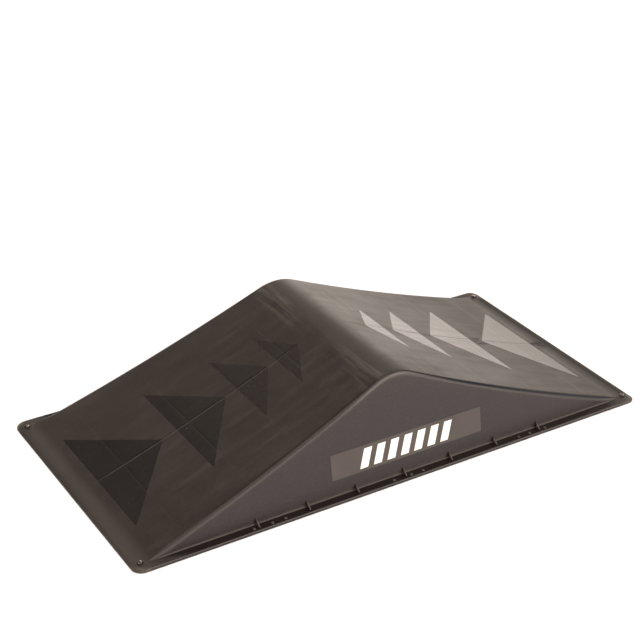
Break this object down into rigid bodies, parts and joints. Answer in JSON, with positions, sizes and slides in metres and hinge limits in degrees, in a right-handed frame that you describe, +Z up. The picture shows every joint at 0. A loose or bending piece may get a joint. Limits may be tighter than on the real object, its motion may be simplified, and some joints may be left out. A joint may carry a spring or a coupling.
{
  "type": "double-sided skate ramp",
  "caption": "Double-sided plastic ramp: two concave slopes meet at a rounded ridge over drafted side walls, a flanged base, inner ribs and bolted rubber feet.",
  "frame": {"origin": "centre of the footprint on the ground, under the ridge", "axes": "+X along the ramp over the ridge, +Y across the ramp, +Z up"},
  "size_m": [1.2, 0.59, 0.2202],
  "materials": {
    "moulding": "fine matt texture, dark brown-black",
    "arrow_film": "smooth glossy film",
    "label_film": "satin grey-brown film with plain white bars",
    "rubber": "matt",
    "steel": "dark zinc plate"
  },
  "bodies": {
    "root": {"ridge_crown": "moulding", "deck_left": "moulding", "end_lip_left": "moulding", "arrow_film_left_1": "arrow_film", "arrow_film_left_2": "arrow_film", "arrow_film_left_3": "arrow_film", "arrow_film_left_4": "arrow_film", "deck_right": "moulding", "end_lip_right": "moulding", "arrow_film_right_1": "arrow_film", "arrow_film_right_2": "arrow_film", "arrow_film_right_3": "arrow_film", "arrow_film_right_4": "arrow_film", "side_wall_front": "moulding", "side_flange_front": "moulding", "side_label_front": "label_film", "side_wall_back": "moulding", "side_flange_back": "moulding", "side_label_back": "label_film", "cross_rib_1": "moulding", "cross_rib_2": "moulding", "cross_rib_3": "moulding", "cross_rib_4": "moulding", "cross_rib_5": "moulding", "cross_rib_6": "moulding", "cross_rib_7": "moulding", "cross_rib_8": "moulding", "cross_rib_9": "moulding", "spine_rib_1": "moulding", "spine_rib_2": "moulding", "spine_rib_3": "moulding", "spine_rib_4": "moulding", "spine_rib_5": "moulding", "spine_rib_6": "moulding", "spine_rib_7": "moulding", "spine_rib_8": "moulding", "spine_rib_9": "moulding", "spine_rib_10": "moulding", "corner_screw_front_left": "steel", "foot_nut_front_left": "steel", "rubber_foot_front_left": "rubber", "corner_screw_front_right": "steel", "foot_nut_front_right": "steel", "rubber_foot_front_right": "rubber", "corner_screw_back_left": "steel", "foot_nut_back_left": "steel", "rubber_foot_back_left": "rubber", "corner_screw_back_right": "steel", "foot_nut_back_right": "steel", "rubber_foot_back_right": "rubber"}
  },
  "joints": []
}
